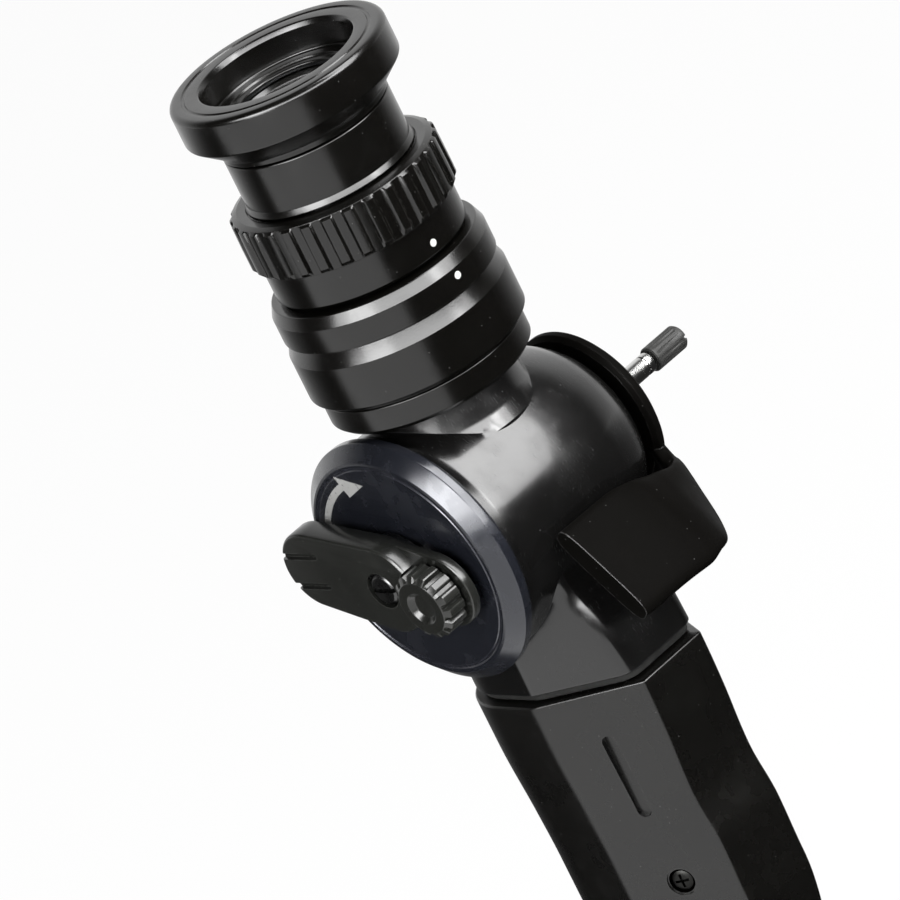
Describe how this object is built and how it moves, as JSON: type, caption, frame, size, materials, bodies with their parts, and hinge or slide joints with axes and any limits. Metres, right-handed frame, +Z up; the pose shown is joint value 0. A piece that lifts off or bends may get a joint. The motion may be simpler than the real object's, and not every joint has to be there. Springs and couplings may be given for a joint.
{
  "type": "flexible endoscope",
  "caption": "Control section of a fibre endoscope: flared eyepiece with dioptre ring, angulation drum with thumb lever, side disc with lobed wing, and a faceted hand grip.",
  "frame": {"origin": "centre of the angulation drum, where the body axis crosses the drum axis", "axes": "+Z up the body to the eyepiece, -Y the thumb side, +X the thumb lever's hub and -X the side disc"},
  "size_m": [0.0682, 0.0622, 0.1975],
  "materials": {
    "black_plastic": "satin black moulding",
    "gloss_black": "polished black enamel",
    "disc_finish": "blue-black gloss",
    "steel": "polished stainless",
    "brass": "turned",
    "aluminium": "satin",
    "lens_glass": "coated",
    "fibre": "glass fibre bundle in sheath",
    "rubber": "matt black"
  },
  "bodies": {
    "root": {"eyecup": "black_plastic", "eyepiece_tube": "black_plastic", "lens_retainer": "black_plastic", "ocular_barrel": "black_plastic", "body_ring": "black_plastic", "grip_cover": "black_plastic", "head_housing": "gloss_black", "hub_cap": "gloss_black", "side_disc": "disc_finish", "image_guide_ferrule": "steel", "lever_axle": "steel", "wing_axle": "steel", "vent_stem": "steel", "grip_screw_left": "steel", "grip_screw_right": "steel", "light_guide_inlet": "steel", "tube_lock_ring": "brass", "lever_bush": "brass", "wing_bush": "brass", "friction_washer": "brass", "ferrule_holder": "aluminium", "chassis": "aluminium", "grip_end_ring": "aluminium", "eye_lens": "lens_glass", "image_guide": "fibre", "light_guide_bundle": "fibre", "grip_seal": "rubber", "insertion_tube_gland": "rubber"},
    "dioptre": {"dioptre_ring": "black_plastic"},
    "lens_slide": {"lens_cell": "aluminium", "field_lens": "lens_glass", "cam_pin": "steel"},
    "lever": {"thumb_lever": "black_plastic", "lever_shaft": "steel", "lever_pulley": "brass"},
    "wing": {"wing_knob": "black_plastic", "wing_shaft": "steel", "wing_pulley": "brass", "wing_screw": "steel"},
    "lock": {"lock_knob": "black_plastic"},
    "vent": {"vent_cap": "black_plastic"},
    "up_wire": {"wire_up": "steel"},
    "down_wire": {"wire_down": "steel"},
    "left_wire": {"wire_left": "steel"},
    "right_wire": {"wire_right": "steel"}
  },
  "joints": [
    {"name": "dioptre_turn", "type": "hinge", "parent": "root", "child": "dioptre", "pos_m": [0, 0, 0.0483], "axis": [0, 0, 1], "range_deg": [-50, 50]},
    {"name": "lens_travel", "type": "slide", "parent": "root", "child": "lens_slide", "axis": [0, 0, 1], "range_m": [-0.002, 0.002]},
    {"name": "lever_turn", "type": "hinge", "parent": "root", "child": "lever", "pos_m": [0.02, 0, 0], "axis": [-1, 0, 0], "range_deg": [-15, 50]},
    {"name": "wing_turn", "type": "hinge", "parent": "root", "child": "wing", "pos_m": [-0.02, 0, 0], "axis": [-1, 0, 0], "range_deg": [-50, 50]},
    {"name": "lock_turn", "type": "hinge", "parent": "wing", "child": "lock", "pos_m": [-0.024, -0.0093, -0.0016], "axis": [-1, 0, 0], "range_deg": [0, 60]},
    {"name": "vent_turn", "type": "hinge", "parent": "root", "child": "vent", "pos_m": [0.038, 0, 0], "axis": [1, 0, 0], "range_deg": [0, 90]},
    {"name": "up_wire_travel", "type": "slide", "parent": "root", "child": "up_wire", "axis": [0, 0, 1], "range_m": [-0.002, 0.0065]},
    {"name": "down_wire_travel", "type": "slide", "parent": "root", "child": "down_wire", "axis": [0, 0, 1], "range_m": [-0.0065, 0.002]},
    {"name": "left_wire_travel", "type": "slide", "parent": "root", "child": "left_wire", "axis": [0, 0, 1], "range_m": [-0.0065, 0.0065]},
    {"name": "right_wire_travel", "type": "slide", "parent": "root", "child": "right_wire", "axis": [0, 0, 1], "range_m": [-0.0065, 0.0065]}
  ],
  "couplings": [
    {"joint": "lens_travel", "follows": "dioptre_turn", "m_per_rad": 0.00229},
    {"joint": "up_wire_travel", "follows": "lever_turn", "m_per_rad": 0.00695},
    {"joint": "down_wire_travel", "follows": "lever_turn", "m_per_rad": -0.00695},
    {"joint": "left_wire_travel", "follows": "wing_turn", "m_per_rad": 0.00695},
    {"joint": "right_wire_travel", "follows": "wing_turn", "m_per_rad": -0.00695}
  ]
}
